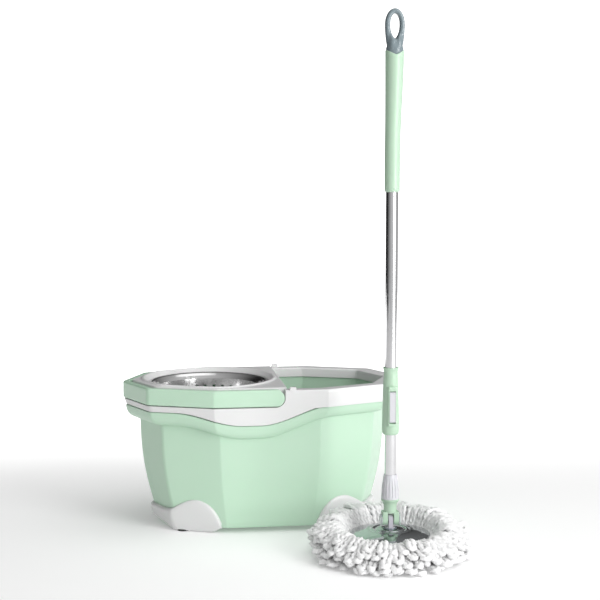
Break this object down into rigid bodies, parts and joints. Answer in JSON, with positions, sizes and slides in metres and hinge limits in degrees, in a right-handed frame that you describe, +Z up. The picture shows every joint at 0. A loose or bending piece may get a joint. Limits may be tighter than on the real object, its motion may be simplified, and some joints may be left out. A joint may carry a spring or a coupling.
{
  "type": "spin mop with wringer bucket",
  "caption": "Spin mop with a telescopic spiral-drive pole and round yarn head, beside its ten-sided bucket with a spinning steel wringer basket, deck and folding carry handle.",
  "frame": {"origin": "on the floor, under the middle of the whole set's outline", "axes": "+Z up, +X along the bucket from the wringer basket to the water side, -Y towards the mop and the viewer"},
  "size_m": [0.569, 0.547, 0.885],
  "materials": {
    "mint_plastic": "satin moulded",
    "white_plastic": "satin moulded",
    "grey_plastic": "gloss moulded",
    "clear_plastic": "milky translucent",
    "nylon": "matte",
    "bright_steel": "polished tube",
    "basket_steel": "polished sheet",
    "plain_steel": "zinc plated",
    "pad_rubber": "matte",
    "yarn": "twisted microfibre yarn"
  },
  "bodies": {
    "bucket": {"bucket_shell": "mint_plastic", "rim_collar": "white_plastic", "basket_deck": "white_plastic", "spindle_post": "mint_plastic", "spindle_pin": "plain_steel", "thrust_washer": "nylon", "post_screws": "plain_steel", "foot_front_left": "white_plastic", "foot_front_right": "white_plastic", "foot_rear_left": "white_plastic", "foot_rear_right": "white_plastic", "foot_screws": "plain_steel", "foot_pads": "pad_rubber"},
    "handle": {"carry_handle": "mint_plastic"},
    "basket": {"basket_wall": "basket_steel", "basket_hub": "white_plastic", "spindle_bush": "nylon", "hub_screws": "plain_steel"},
    "mop_head": {"mop_plate": "bright_steel", "plate_base": "grey_plastic", "plate_hub": "grey_plastic", "hub_bolt": "plain_steel", "yarn_ring": "white_plastic", "yarn_fringe": "yarn"},
    "lower_pole": {"neck_yoke": "mint_plastic", "yoke_pin": "plain_steel", "pin_caps": "clear_plastic", "neck_cap": "white_plastic", "lower_tube": "bright_steel", "drive_nut": "nylon"},
    "bush": {"guide_bush": "nylon"},
    "upper_pole": {"upper_tube": "bright_steel", "spiral_rod": "plain_steel", "rod_plug": "nylon", "rod_rivet": "plain_steel", "lock_sleeve": "mint_plastic", "lever_pin": "plain_steel", "grip": "mint_plastic", "hanger": "grey_plastic"},
    "lever": {"lock_lever": "white_plastic"}
  },
  "joints": [
    {"name": "handle_swing", "type": "hinge", "parent": "bucket", "child": "handle", "pos_m": [-0.0265, 0.1365, 0.2415], "axis": [0, 1, 0], "range_deg": [0, 95]},
    {"name": "basket_spin", "type": "hinge", "parent": "bucket", "child": "basket", "pos_m": [-0.1315, 0.1365, 0.2], "axis": [0, 0, 1], "continuous": true},
    {"name": "mop_lift", "type": "slide", "parent": "bucket", "child": "mop_head", "axis": [0, 0, 1], "range_m": [0, 0.3]},
    {"name": "neck_tilt", "type": "hinge", "parent": "mop_head", "child": "lower_pole", "pos_m": [0.1445, -0.1335, 0.06], "axis": [1, 0, 0], "range_deg": [-25, 70]},
    {"name": "pole_spin", "type": "hinge", "parent": "lower_pole", "child": "bush", "pos_m": [0.1445, -0.1335, 0.695], "axis": [0, 0, 1], "range_deg": [0, 1081]},
    {"name": "pole_stroke", "type": "slide", "parent": "bush", "child": "upper_pole", "axis": [0, 0, 1], "range_m": [0, 0.36]},
    {"name": "lever_flip", "type": "hinge", "parent": "upper_pole", "child": "lever", "pos_m": [0.1445, -0.1479, 0.271], "axis": [-1, 0, 0], "range_deg": [0, 80]}
  ],
  "couplings": [
    {"joint": "pole_spin", "follows": "pole_stroke", "rad_per_m": 52.36}
  ]
}
